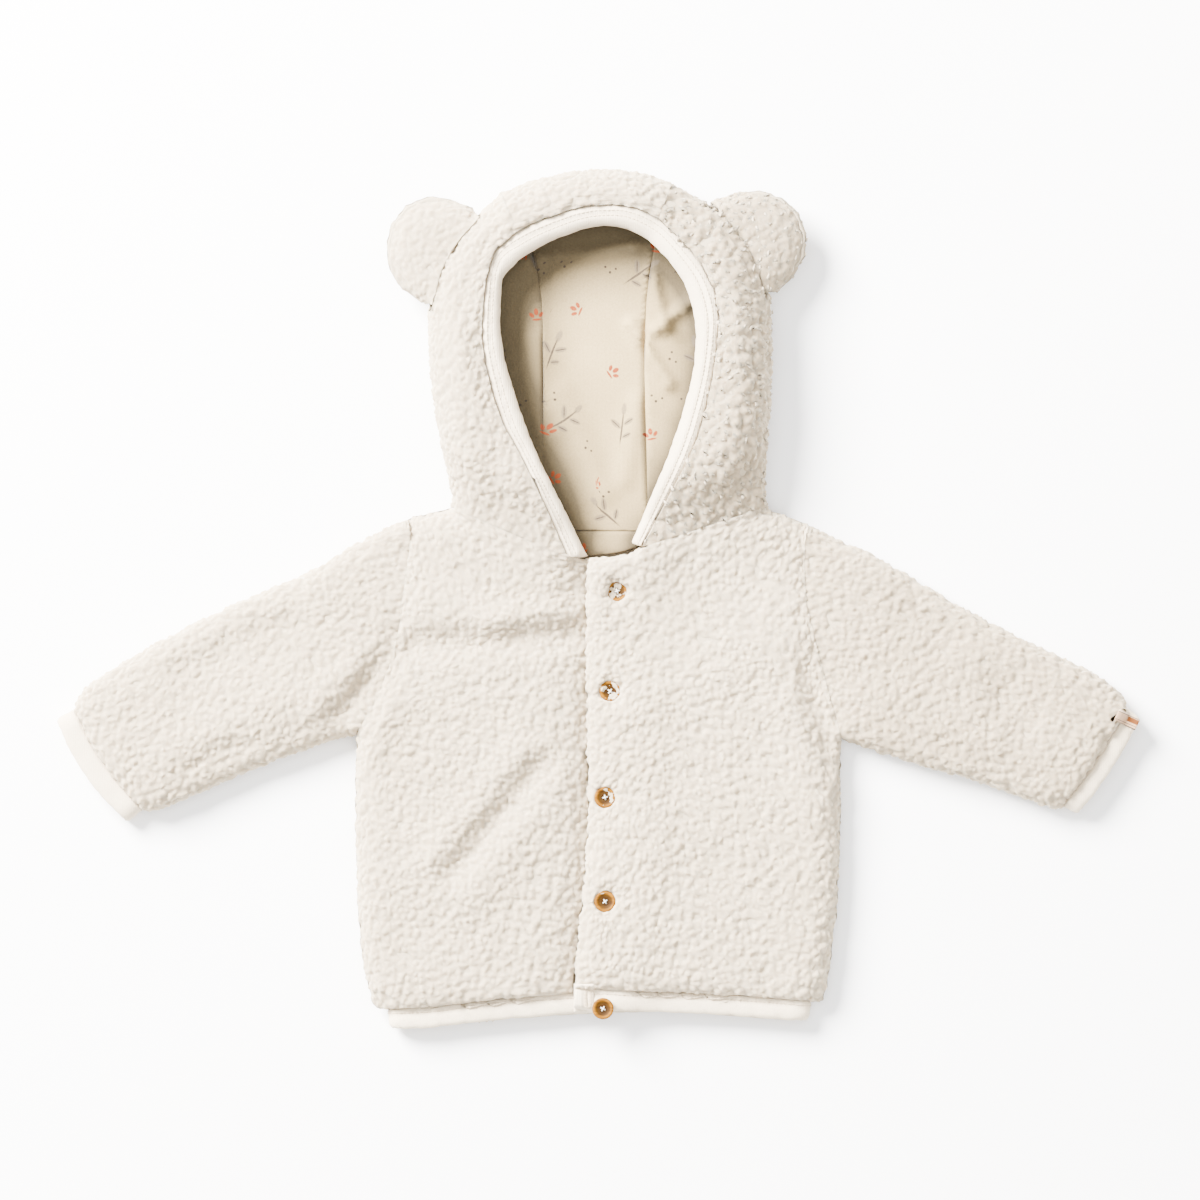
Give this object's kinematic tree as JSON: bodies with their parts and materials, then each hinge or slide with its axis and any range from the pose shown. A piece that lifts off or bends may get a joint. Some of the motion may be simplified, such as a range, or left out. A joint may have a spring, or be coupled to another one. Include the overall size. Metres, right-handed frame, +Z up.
{
  "type": "hooded baby jacket",
  "caption": "Cream sherpa baby jacket with a bear-eared hood, printed lining, jersey bindings and wooden buttons, buttoned and laid flat on its back.",
  "frame": {"origin": "middle of the jacket's box, on the surface that it lies on", "axes": "+X across the jacket towards the wearer's left sleeve, +Y from the hem towards the hood, +Z up from the surface"},
  "size_m": [0.6308, 0.5004, 0.0478],
  "materials": {
    "sherpa": "long curly pile, matt",
    "jersey": "fine knit, matt",
    "print": "printed cotton jersey, matt",
    "wood": "turned and waxed, satin",
    "ribbon": "woven satin, soft sheen"
  },
  "bodies": {
    "root": {"back": "sherpa", "front_right": "sherpa", "front_left": "sherpa", "sleeve_right": "sherpa", "sleeve_left": "sherpa", "hood_side_right": "sherpa", "hood_side_left": "sherpa", "hood_centre": "sherpa", "ear_right_front": "sherpa", "ear_right_back": "sherpa", "ear_left_front": "sherpa", "ear_left_back": "sherpa", "hood_lining_right": "print", "hood_lining_left": "print", "hood_lining_centre": "print", "back_neck_lining": "print", "hood_binding": "jersey", "hem_binding": "jersey", "cuff_binding_right": "jersey", "cuff_binding_left": "jersey", "button_1": "wood", "button_2": "wood", "button_3": "wood", "button_4": "wood", "button_5": "wood", "cuff_tab": "ribbon"}
  },
  "joints": []
}
